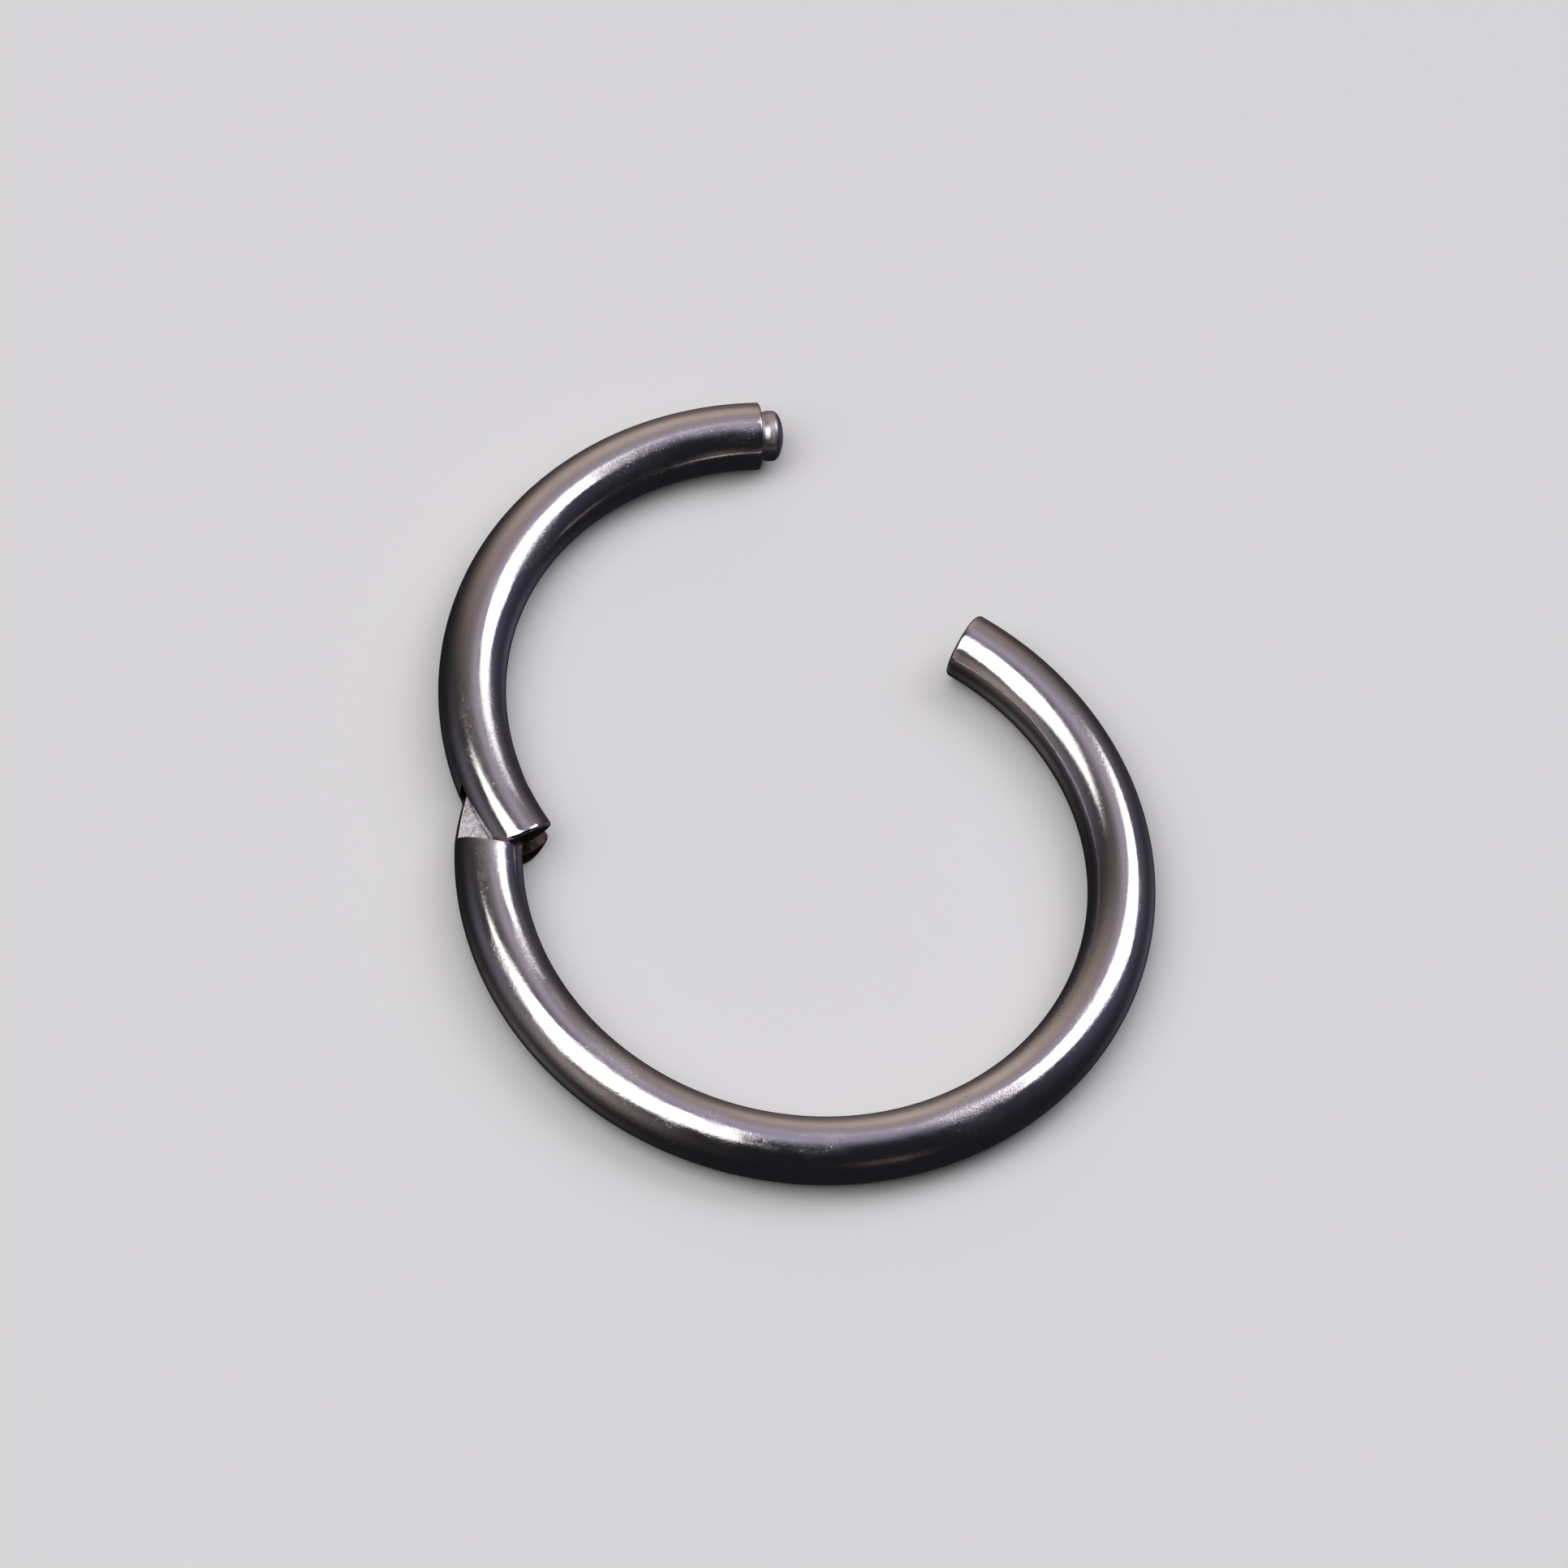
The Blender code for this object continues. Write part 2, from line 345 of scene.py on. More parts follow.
class Skin:
    """Collects grids of points and makes one closed mesh of them."""

    WELD = 0.02 * MICRON

    def __init__(self) -> None:
        """Starts with nothing."""
        self.points: list[Vector] = []
        self.faces: list[tuple[int, ...]] = []
        self.finishes: list[int] = []

    def grid(self, rows: Sequence[Sequence[Vector]], finish: Finish) -> None:
        """Adds a sheet of four-sided faces.

        Args:
            rows: Rows of points, all as long.
            finish: The finish of its faces.
        """
        start = len(self.points)
        width = len(rows[0])
        for row in rows:
            self.points.extend(row)
        for line in range(len(rows) - 1):
            for step in range(width - 1):
                corner = start + line * width + step
                self.faces.append((corner, corner + 1, corner + width + 1, corner + width))
                self.finishes.append(finish.value)

    def disc(self, rim: Sequence[Vector], finish: Finish) -> None:
        """Closes a loop with triangles that meet in its middle.

        Args:
            rim: The loop, its first point not repeated.
            finish: The finish of its faces.
        """
        start = len(self.points)
        self.points.extend(rim)
        self.points.append(sum(rim, Vector()) / len(rim))
        for step in range(len(rim)):
            self.faces.append((start + step, start + (step + 1) % len(rim), start + len(rim)))
            self.finishes.append(finish.value)

    def build(self, name: str) -> bpy.types.Object:
        """Makes the object.

        Args:
            name: The piece's name.

        Returns:
            The object, closed and with its faces out.
        """
        raw = bpy.data.meshes.new(name)
        raw.from_pydata([point[:] for point in self.points], [], self.faces)
        raw.polygons.foreach_set("material_index", self.finishes)
        work = bmesh.new()
        work.from_mesh(raw)
        bmesh.ops.remove_doubles(work, verts=work.verts, dist=self.WELD)
        bmesh.ops.dissolve_degenerate(work, edges=work.edges, dist=self.WELD)
        bmesh.ops.recalc_face_normals(work, faces=work.faces)
        work.to_mesh(raw)
        work.free()
        raw.shade_smooth()
        made = bpy.data.objects.new(name, raw)
        bpy.context.scene.collection.objects.link(made)
        return made


def settle(piece: bpy.types.Object) -> None:
    """Turns a piece's modifiers into its mesh.

    Args:
        piece: The piece.
    """
    graph = bpy.context.evaluated_depsgraph_get()
    shown = bpy.data.meshes.new_from_object(piece.evaluated_get(graph))
    piece.modifiers.clear()
    old = piece.data
    piece.data = shown
    bpy.data.meshes.remove(old)


def ease(piece: bpy.types.Object, width: float, steps: int = 3, sharp: float = math.radians(34.0)) -> None:
    """Rounds a piece's sharp edges.

    Args:
        piece: The piece.
        width: Width of the rounding.
        steps: How many faces go round an edge.
        sharp: How far the faces beside an edge turn before it counts as sharp.
    """
    bevel = piece.modifiers.new("eased_edges", "BEVEL")
    bevel.width = width
    bevel.segments = steps
    bevel.limit_method = "ANGLE"
    bevel.angle_limit = sharp
    bevel.use_clamp_overlap = False
    bevel.harden_normals = True
    bevel.miter_outer = "MITER_ARC"


# Finishes


@dataclass(frozen=True)
class WireMap:
    """Tells a finish where it is on the wire: millimetres along the arc, out from it and above it."""

    centre: Vector
    height: float
    radius: float
    middle: float

    def place(self, graph: Graph) -> tuple[Signal, Signal, Signal]:
        """Adds the nodes that find the place.

        Args:
            graph: The finish's nodes.

        Returns:
            Distance along the arc, out from the centre line and above it.
        """
        here = Signal(graph, graph.add("ShaderNodeTexCoord").outputs["Object"])
        east, north, high = graph.parts(here)
        east = (east - self.centre.x) / MM
        north = (north - self.centre.y) / MM
        ahead = east * math.cos(self.middle) + north * math.sin(self.middle)
        aside = north * math.cos(self.middle) - east * math.sin(self.middle)
        reach = self.radius / MM
        along = graph.math("ARCTAN2", aside, ahead) * reach
        out = graph.math("SQRT", ahead * ahead + aside * aside) - reach
        return along, out, (high - self.height) / MM


def surface(name: str) -> tuple[bpy.types.Material, Graph, bpy.types.Node]:
    """A new metal material.

    Args:
        name: Its name.

    Returns:
        The material, its nodes and its surface node.
    """
    material = bpy.data.materials.new(name)
    material.use_nodes = True
    shader = material.node_tree.nodes["Principled BSDF"]
    shader.inputs["Metallic"].default_value = 1.0
    return material, Graph(material.node_tree), shader


def feed(graph: Graph, shader: bpy.types.Node, sockets: Mapping[str, Signal]) -> None:
    """Links signals to a surface node.

    Args:
        graph: The material's nodes.
        shader: Its surface node.
        sockets: Signals by socket name.
    """
    for name, signal in sockets.items():
        graph.tree.links.new(signal.socket, shader.inputs[name])


@dataclass(frozen=True)
class PolishedSteel:
    """Polished steel wire: a clear shine with draw lines, worn by handling, with pits and scratches.

    Depths are in microns. Wear is spared past worn_to, in millimetres from the arc's middle. Calm wire is
    the wire that isn't worn.
    """

    bright: tuple[float, float, float] = (0.76, 0.73, 0.745)
    dull: tuple[float, float, float] = (0.62, 0.59, 0.60)
    gloss: float = 0.11
    haze: float = 0.14
    line_depth: float = 0.9
    grain_depth: float = 4.4
    pit_depth: float = 1.2
    scratch_depth: float = 0.25
    worn_to: float = 30.0
    worn_fade: float = 6.0
    spared_share: float = 0.65
    calm_grain: float = 0.10
    calm_pits: float = 0.15
    line_gloss: float = 0.08
    grain_gloss: float = 0.22
    pit_gloss: float = 0.15
    worn_tone: float = 0.6
    pit_tone: float = 0.4
    smoothest: float = 0.05
    roughest: float = 0.6
    scratch_slant: float = 3.0
    scratch_length: float = 0.3
    lines: Cloud = Cloud(12.0, 4.0, fine=0.62, stretch=0.03)
    wear: Cloud = Cloud(1.1, 4.0, fine=0.6, shift=3.0, stretch=0.5, low=0.39, high=0.68)
    grain: Cloud = Cloud(26.0, 2.0, fine=0.8, shift=7.0, stretch=0.7)
    pits: Cloud = Cloud(20.0, 1.0, shift=11.0, low=0.67, high=0.77)
    scratches: Cloud = Cloud(6.0, 1.0, shift=17.0, low=0.68, high=0.76)
    seed: float = 0.0

    def make(self, name: str, chart: WireMap) -> bpy.types.Material:
        """Builds the material.

        Args:
            name: Its name.
            chart: The wire's own coordinates.

        Returns:
            The material.
        """
        material, graph, shader = surface(name)
        spot = chart.place(graph)
        along, out, up = spot
        slanted = (along * self.scratch_slant + out, out * self.scratch_length, up * self.scratch_length)
        spared = self.spared_share * along.rise(self.worn_to - self.worn_fade, self.worn_to)
        lines = graph.noise(spot, self.lines, self.seed)
        worn = graph.mask(spot, self.wear, self.seed) * (1 - spared)
        grain = graph.noise(spot, self.grain, self.seed)
        pits = graph.mask(spot, self.pits, self.seed) * (self.calm_pits + worn)
        scratches = graph.mask(slanted, self.scratches, self.seed)
        roughness = self.gloss + self.haze * worn + self.grain_gloss * (grain - 0.5)
        roughness = roughness + self.line_gloss * (lines - 0.5) + self.pit_gloss * pits
        roughness = graph.math("MINIMUM", graph.math("MAXIMUM", roughness, self.smoothest), self.roughest)
        grain_here = self.grain_depth * (self.calm_grain + (1.0 - self.calm_grain) * worn)
        height = self.line_depth * lines + grain_here * grain
        height = height - self.pit_depth * pits - self.scratch_depth * scratches
        bump = graph.add("ShaderNodeBump", None, {"Strength": 1.0, "Distance": MICRON, "Height": height})
        faded = self.worn_tone * worn * grain + self.pit_tone * pits
        sockets = {
            "Base Color": graph.blend(faded, (*self.bright, 1.0), (*self.dull, 1.0)),
            "Roughness": roughness,
            "Normal": Signal(graph, bump.outputs[0]),
        }
        feed(graph, shader, sockets)
        return material


@dataclass(frozen=True)
class CutSteel:
    """Steel as the cutter leaves it: grainy, a little torn and stained brown. The depth is in microns."""

    bright: tuple[float, float, float] = (0.84, 0.80, 0.82)
    tint: tuple[float, float, float] = (0.24, 0.16, 0.13)
    rough: float = 0.36
    torn_depth: float = 26.0
    torn_gloss: float = 0.30
    stained: float = 0.85
    stain_from: float = 0.50
    stain_fade: float = 0.15
    stain_gloss: float = 0.15
    torn: Cloud = Cloud(9.0, 4.0, fine=0.66)
    stain: Cloud = Cloud(4.5, 4.0, fine=0.66, shift=6.0)
    seed: float = 21.0

    def make(self, name: str, chart: WireMap) -> bpy.types.Material:
        """Builds the material.

        Args:
            name: Its name.
            chart: The wire's own coordinates.

        Returns:
            The material.
        """
        material, graph, shader = surface(name)
        spot = chart.place(graph)
        torn = graph.noise(spot, self.torn, self.seed)
        stain = graph.noise(spot, self.stain, self.seed)
        stain = stain.rise(self.stain_from, self.stain_from + self.stain_fade)
        inputs = {"Strength": 1.0, "Distance": MICRON, "Height": self.torn_depth * torn}
        bump = graph.add("ShaderNodeBump", None, inputs)
        sockets = {
            "Base Color": graph.blend(self.stained * stain, (*self.bright, 1.0), (*self.tint, 1.0)),
            "Roughness": self.rough + self.torn_gloss * (torn - 0.5) + self.stain_gloss * stain,
            "Normal": Signal(graph, bump.outputs[0]),
        }
        feed(graph, shader, sockets)
        return material


SHORN_STEEL = CutSteel()
# Cut faces of the short arc: brown stain mottling plus painted shade. A very dark base colour darkens the
# slot, the holes, the ears' end walls and the end face, where shade falls.
STAINED_AND_SHADED_STEEL = CutSteel(
    bright=(0.17, 0.13, 0.11),
    tint=(0.05, 0.03, 0.025),
    rough=0.40,
    torn_depth=14.0,
    stained=0.9,
    stain_from=0.40,
)
TURNED_STEEL = CutSteel(bright=(0.76, 0.72, 0.74), rough=0.33, torn_depth=2.5, stained=0.30)


# Pieces


@dataclass
class HingedArc:
    """An arc of round wire whose first end is cut for the hinge, with a flat on each side of the middle.

    The wall is a tongue's shoulder or the ears' end. The rim is the rounding of the far end, the brow is
    the rounding of the wall's edge, and the taper draws a tongue's outer side in towards its round end.
    """

    hoop: Hoop
    name: str
    link: Link
    node: str
    flat_half: float
    round_reach: float
    wall_reach: float
    far_turn: float
    tongue: bool
    finish: PolishedSteel
    cut: CutSteel = SHORN_STEEL
    rim: float = 0.03 * MM
    rim_steps: int = 5
    taper: float = 0.0
    brow: float = 0.02 * MM
    brow_fade: float = 0.15 * MM
    hole_radius: float = 0.26 * MM
    edge_width: float = 0.016 * MM
    side_steps: int = 12
    cap_steps: int = 36
    lead_steps: int = 14
    round_steps: int = 32
    wall_steps: int = 5
    spoke_steps: int = 3
    row_turn: float = math.radians(1.0)
    fewest_rows: int = 8
    skin: Skin = field(default_factory=Skin)

    @property
    def flat_turn(self) -> float:
        """Angle about the section's centre at which the flat meets the wire's surface."""
        return math.asin(self.flat_half / self.hoop.wire)

    @property
    def middle_angle(self) -> float:
        """Direction of the arc's middle from the ring's centre, with the ring shut."""
        return math.pi + self.far_turn / 2

    def around(self, section: float) -> tuple[float, float]:
        """Distances out and up of a place on the wire's section."""
        return self.hoop.wire * math.cos(section), self.hoop.wire * math.sin(section)

    def groups(self) -> list[tuple[list[float], bool]]:
        """Splits the wire's section where the flats meet it.

        Returns:
            Four groups of angles, each with whether it lies beside the flats.
        """
        flat = self.flat_turn
        return [
            (spread(-flat, flat, self.side_steps), True),
            (spread(flat, math.pi - flat, self.cap_steps), False),
            (spread(math.pi - flat, math.pi + flat, self.side_steps), True),
            (spread(math.pi + flat, 2 * math.pi - flat, self.cap_steps), False),
        ]

    def round_turn(self, out: float) -> float:
        """Turn of the tongue's round end, or of the slot's root, on the line that far out."""
        return -self.hoop.turn_at(out, self.round_reach)

    def wall_turn(self, out: float) -> float:
        """Turn of the shoulder, or of the ears' end, on the line that far out."""
        return self.hoop.turn_at(out, self.wall_reach)

    def lead(self, out: float) -> list[tuple[float, float]]:
        """The side of the tongue, or of the ears, on the line that far out.

        Args:
            out: How far out the line is at the wall.

        Returns:
            Turns and distances out, from the end that reaches further to the other one.
        """
        drawn_in = out - self.taper if out > 0 else out
        ends = [(self.round_turn(drawn_in), drawn_in), (self.wall_turn(out), out)]
        if not self.tongue:
            ends.reverse()
        turns = spread(ends[0][0], ends[1][0], self.lead_steps)
        return list(zip(turns, spread(ends[0][1], ends[1][1], self.lead_steps)))

    def brow_line(self, section: float) -> list[tuple[float, float, float]]:
        """Rounding of the wall's edge. It fades out at a tongue's flats. Ears keep it, but only inwards.

        Args:
            section: Angle about the section's centre.

        Returns:
            Turns and distances out and up, from the wall to the wire's surface.
        """
        out, up = self.around(section)
        fade = max(0.0, min(1.0, (abs(up) - self.flat_half) / self.brow_fade))
        bend = self.brow * (fade if self.tongue else 1.0)
        ahead = math.copysign(bend / self.hoop.radius, self.far_turn)
        line = []
        for curl in reversed(spread(0.0, math.pi / 2, self.rim_steps)):
            drop = bend / self.hoop.wire * (1 - math.cos(curl))
            far = out * (1 - drop)
            line.append((self.wall_turn(far) + ahead * (1 - math.sin(curl)), far, up * (1 - drop * fade)))
        return line

    def add_wire(self) -> list[Vector]:
        """Adds the round surface, with its far edge and the wall's edge rounded.

        Returns:
            The loop at its far end.
        """
        rim: list[Vector] = []
        steps = max(self.fewest_rows, round(abs(self.far_turn) / self.row_turn))
        back = math.copysign(self.rim / self.hoop.radius, self.far_turn)
        rounding = spread(0.0, math.pi / 2, self.rim_steps)[1:]
        for angles, beside in self.groups():
            columns = []
            for section in angles:
                out, up = self.around(section)
                lead = self.lead(out)
                line = [(turn, out) for turn in spread(lead[-1][0], self.far_turn - back, steps)]
                if beside == self.tongue:
                    line = lead[:-1] + line
                column = []
                if not beside:
                    line = line[1:]
                    column = [self.hoop.point(*place) for place in self.brow_line(section)]
                column += [self.hoop.point(turn, far, up) for turn, far in line]
                for curl in rounding:
                    turn = self.far_turn - back * (1 - math.sin(curl))
                    share = 1 - self.rim / self.hoop.wire * (1 - math.cos(curl))
                    column.append(self.hoop.point(turn, out * share, up * share))
                columns.append(column)
            self.skin.grid(columns, Finish.POLISHED)
            rim += [column[-1] for column in columns[:-1]]
        return rim

    def add_flats(self) -> list[list[Vector]]:
        """Adds the flat faces on both sides of the middle, each with its round hole.

        Returns:
            The rims of the two holes.
        """
        hoop, flat, holes = self.hoop, self.flat_turn, []
        for side in (1, -1):
            up = side * self.flat_half
            outline = []
            for section in spread(flat, math.pi - flat, self.cap_steps):
                turn, out, _ = self.brow_line(section)[0]
                outline.append(hoop.point(turn, out, up))
            outline += self.flat_side(math.pi - flat, up)
            outline += list(reversed(self.round_row(flat_up=up)))
            outline += reversed(self.flat_side(flat, up))
            rows = []
            for point in outline:
                angle = math.atan2(point.y - hoop.pivot.y, point.x - hoop.pivot.x)
                rim = hoop.around_pivot(angle, self.hole_radius, up)
                rows.append([point.lerp(rim, share) for share in spread(0.0, 1.0, self.spoke_steps)])
            self.skin.grid(rows, Finish.CUT)
            holes.append([row[-1] for row in rows])
        return holes

    def flat_side(self, section: float, up: float) -> list[Vector]:
        """One side of a flat's outline.

        Args:
            section: Angle about the section's centre at which it lies.
            up: The flat's height from the centre line.

        Returns:
            Points from the wall to the round end.
        """
        line = self.lead(self.around(section)[0])
        if self.tongue:
            line.reverse()
        corner = [self.hoop.point(turn, far, up) for turn, far, _ in self.brow_line(section)]
        return corner + [self.hoop.point(turn, far, up) for turn, far in line[1:]]

    def round_row(self, flat_up: float) -> list[Vector]:
        """Points across the round end at one height.

        Args:
            flat_up: Height from the centre line.

        Returns:
            Points from the ring's outer side to its inner side.
        """
        hoop = self.hoop
        out = math.sqrt(hoop.wire ** 2 - flat_up ** 2)
        ends = []
        for side in (out, -out):
            turn, far = self.lead(side)[0 if self.tongue else -1]
            point = hoop.point(turn, far, flat_up)
            ends.append(math.atan2(point.y - hoop.pivot.y, point.x - hoop.pivot.x))
        angles = spread(ends[0], ends[1], self.round_steps)
        return [hoop.around_pivot(angle, self.round_reach, flat_up) for angle in angles]

    def add_walls(self) -> None:
        """Adds the upright faces: the round end, and the wall above and below the flats."""
        flat = self.flat_turn
        rows = [self.round_row(self.around(section)[1]) for section in spread(-flat, flat, self.side_steps)]
        self.skin.grid(rows, Finish.CUT)
        for side in (1, -1):
            rows = []
            for section in spread(flat, math.pi - flat, self.cap_steps):
                turn, out, up = self.brow_line(section)[0]
                heights = spread(self.flat_half, up, self.wall_steps)
                rows.append([self.hoop.point(turn, out, side * high) for high in heights])
            self.skin.grid(rows, Finish.CUT)

    def dress(self, piece: bpy.types.Object, swing: Matrix | None = None) -> bpy.types.Object:
        """Gives the piece its finishes and ties it to its body.

        Args:
            piece: The piece, where it lies at rest.
            swing: How the arc was swung from the shut ring, if it was.

        Returns:
            The piece.
        """
        centre, middle = self.hoop.centre, self.middle_angle
        if swing is not None:
            centre = swing @ centre
            middle += swing.to_euler().z
        chart = WireMap(centre, self.hoop.height, self.hoop.radius, middle)
        slots = piece.data.materials
        slots[Finish.POLISHED.value] = self.finish.make(self.name + "_polish", chart)
        slots[Finish.CUT.value] = self.cut.make(self.name + "_cut", chart)
        slots[Finish.TURNED.value] = TURNED_STEEL.make(self.name + "_turned", chart)
        tie(piece, self.link, self.node)
        return piece


def tie(piece: bpy.types.Object, link: Link, node: str) -> None:
    """Makes a piece ride on a body and stand for a node.

    Args:
        piece: The piece.
        link: The body it moves with.
        node: The node that it replaces.
    """
    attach(piece, link.value)
    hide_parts(node)
    LOG.info("%s: %d faces, rides on %s", piece.name, len(piece.data.polygons), link.value)


@dataclass(frozen=True)
class Stub:
    """The locking stub, turned on the end of the short arc: a neck, a full body and a domed end."""

    radius: float = 0.45 * MM
    length: float = 0.42 * MM
    neck_radius: float = 0.43 * MM
    neck_length: float = 0.05 * MM
    flare: float = 0.11 * MM
    dome: float = 0.18 * MM
    dome_flat: float = 0.30
    dome_steps: int = 16
    flare_steps: int = 8
    body_share: float = 0.6

    def profile(self) -> list[tuple[float, float]]:
        """The stub's outline.

        Returns:
            Distances out of the end face and radii, from the root to the tip.
        """
        line = [(self.neck_length * share, self.neck_radius) for share in (0.0, 0.5)]
        for share in spread(0.0, 1.0, self.flare_steps):
            blend = share * share * (3 - 2 * share)
            distance = self.neck_length + self.flare * share
            line.append((distance, self.neck_radius + (self.radius - self.neck_radius) * blend))
        widest = math.acos(self.dome_flat)
        body_end = self.length - self.dome
        line.append((body_end * self.body_share + line[-1][0] * (1 - self.body_share), self.radius))
        for turn in spread(0.0, widest, self.dome_steps):
            distance = body_end + self.dome * math.sin(turn) / math.sin(widest)
            line.append((distance, self.radius * math.cos(turn)))
        return line


@dataclass
class LongArc(HingedArc):
    """The fixed arc, from the tongue round to the mouth."""

    stub: Stub = field(default_factory=Stub)
    socket_clearance: float = 0.03 * MM
    socket_overrun: float = 0.10 * MM
    notch_width: float = 0.56 * MM
    notch_depth: float = 0.16 * MM
    socket_sides: int = 64
    flat_angle: float = math.radians(0.5)

    def socket(self, tip_turn: float) -> bpy.types.Object:
        """The room that the stub sweeps while it swings in.

        Args:
            tip_turn: Turn of the stub's root with the ring shut.

        Returns:
            The shape to take away.
        """
        hoop = self.hoop
        root = hoop.point(tip_turn, 0.0, 0.0)
        outward = (hoop.point(tip_turn, MM, 0.0) - root).normalized()
        ahead = Vector((outward.y, -outward.x, 0.0))
        lever = root - hoop.pivot
        leave = Vector((-lever.y, lever.x, 0.0)).normalized()
        travel = (self.stub.length + self.socket_clearance + self.socket_overrun) / -leave.dot(ahead)
        swing = Matrix.Rotation(travel / Vector((lever.x, lever.y, 0.0)).length, 4, "Z")
        profile = [(-self.socket_overrun, self.stub.radius + self.socket_clearance)]
        for distance, radius in self.stub.profile():
            if radius >= self.stub.radius or distance > self.stub.length / 2:
                profile.append((distance + self.socket_clearance, radius + self.socket_clearance))
        work = bmesh.new()
        for distance, radius in profile:
            for side in range(self.socket_sides):
                turn = 2 * math.pi * (side + 0.5) / self.socket_sides
                spot = root + ahead * distance + outward * (radius * math.cos(turn))
                spot.z += radius * math.sin(turn)
                work.verts.new(spot)
                work.verts.new(hoop.pivot + swing @ (spot - hoop.pivot))
        hull = bmesh.ops.convex_hull(work, input=work.verts)
        inside = [item for item in hull["geom_interior"] if isinstance(item, bmesh.types.BMVert)]
        bmesh.ops.delete(work, geom=inside, context="VERTS")
        bmesh.ops.dissolve_limit(work, angle_limit=self.flat_angle, verts=work.verts, edges=work.edges)
        return solid("socket_room", work)

    def notch(self) -> bpy.types.Object:
        """The notch in the mouth's outer wall, where the stub comes in from the side.

        Returns:
            The shape to take away.
        """
        hoop = self.hoop
        back = self.notch_depth / hoop.radius
        near, far = self.far_turn + back, self.far_turn - back
        corners = [(near, 0.0), (near, MM), (far, MM), (far, 0.0)]
        work = bmesh.new()
        rings = []
        for up in (-self.notch_width / 2, self.notch_width / 2):
            rings.append([work.verts.new(hoop.point(turn, out, up)) for turn, out in corners])
        work.faces.new(rings[0])
        work.faces.new(rings[1])
        for step in range(len(corners)):
            after = (step + 1) % len(corners)
            work.faces.new((rings[0][step], rings[0][after], rings[1][after], rings[1][step]))
        return solid("notch_room", work)

    def build(self, tip_turn: float) -> bpy.types.Object:
        """Makes the arc.

        Args:
            tip_turn: Turn of the short arc's end face with the ring shut.

        Returns:
            The piece.
        """
        rim = self.add_wire()
        holes = self.add_flats()
        self.add_walls()
        self.skin.grid(list(zip(*holes)), Finish.CUT)
        self.skin.disc(rim, Finish.CUT)
        piece = self.skin.build(self.name)
        rooms = [self.socket(tip_turn), self.notch()]
        for room in rooms:
            cut = piece.modifiers.new(room.name, "BOOLEAN")
            cut.operation = "DIFFERENCE"
            cut.solver = "EXACT"
            cut.material_mode = "INDEX"
            cut.object = room
        reserve(piece.data)
        settle(piece)
        for room in rooms:
            bpy.data.objects.remove(room)
        ease(piece, self.edge_width)
        settle(piece)
        return self.dress(piece)


@dataclass
class ShortArc(HingedArc):
    """The swinging arc, from the ears round to the stub."""

    open_turn: float = math.radians(35.0)
    blind_height: float = 0.50 * MM
    stub: Stub = field(default_factory=Stub)

    def swing(self) -> Matrix:
        """The turn about the pin from shut to rest."""
        pivot, turned = self.hoop.pivot, Matrix.Rotation(self.open_turn, 4, "Z")
        return Matrix.Translation(pivot) @ turned @ Matrix.Translation(-pivot)

    def add_stub(self, rim: list[Vector]) -> None:
        """Adds the end face and the stub.

        Args:
            rim: The loop at the arc's far end.
        """
        hoop = self.hoop
        root = hoop.point(self.far_turn, 0.0, 0.0)
        outward = (hoop.point(self.far_turn, MM, 0.0) - root).normalized()
        ahead = Vector((outward.y, -outward.x, 0.0))
        spokes = [(point - root).normalized() for point in rim]
        rim_radius = hoop.wire - self.rim
        loops = [rim, [root + spoke * (rim_radius + self.stub.neck_radius) / 2 for spoke in spokes]]
        for distance, radius in self.stub.profile():
            loops.append([root + ahead * distance + spoke * radius for spoke in spokes])
        closed = [loop + [loop[0]] for loop in loops]
        self.skin.grid(closed[:3], Finish.CUT)
        self.skin.grid(closed[2:], Finish.TURNED)
        self.skin.disc(loops[-1], Finish.TURNED)

    def build(self) -> bpy.types.Object:
        """Makes the arc.

        Returns:
            The piece, swung open.
        """
        rim = self.add_wire()
        holes = self.add_flats()
        self.add_walls()
        for side, hole in zip((1, -1), holes):
            bottom = self.hoop.height + side * self.blind_height
            deep = [Vector((point.x, point.y, bottom)) for point in hole]
            self.skin.grid([hole, deep], Finish.CUT)
            self.skin.disc(deep[:-1], Finish.CUT)
        self.add_stub(rim)
        piece = self.skin.build(self.name)
        reserve(piece.data)
        ease(piece, self.edge_width)
        settle(piece)
        swing = self.swing()
        piece.data.transform(swing)
        return self.dress(piece, swing)


def reserve(mesh: bpy.types.Mesh) -> None:
    """Gives a mesh an empty material slot for each finish, so that cuts keep the faces' slots."""
    for _ in Finish:
        mesh.materials.append(None)


def solid(name: str, work: bmesh.types.BMesh) -> bpy.types.Object:
    """Turns a shape into an object whose faces have the cut finish.

    Args:
        name: Its name.
        work: The shape.

    Returns:
        The object.
    """
    bmesh.ops.recalc_face_normals(work, faces=work.faces)
    for face in work.faces:
        face.material_index = Finish.CUT.value
        face.smooth = True
    mesh = bpy.data.meshes.new(name)
    work.to_mesh(mesh)
    work.free()
    reserve(mesh)
    made = bpy.data.objects.new(name, mesh)
    bpy.context.scene.collection.objects.link(made)
    return made


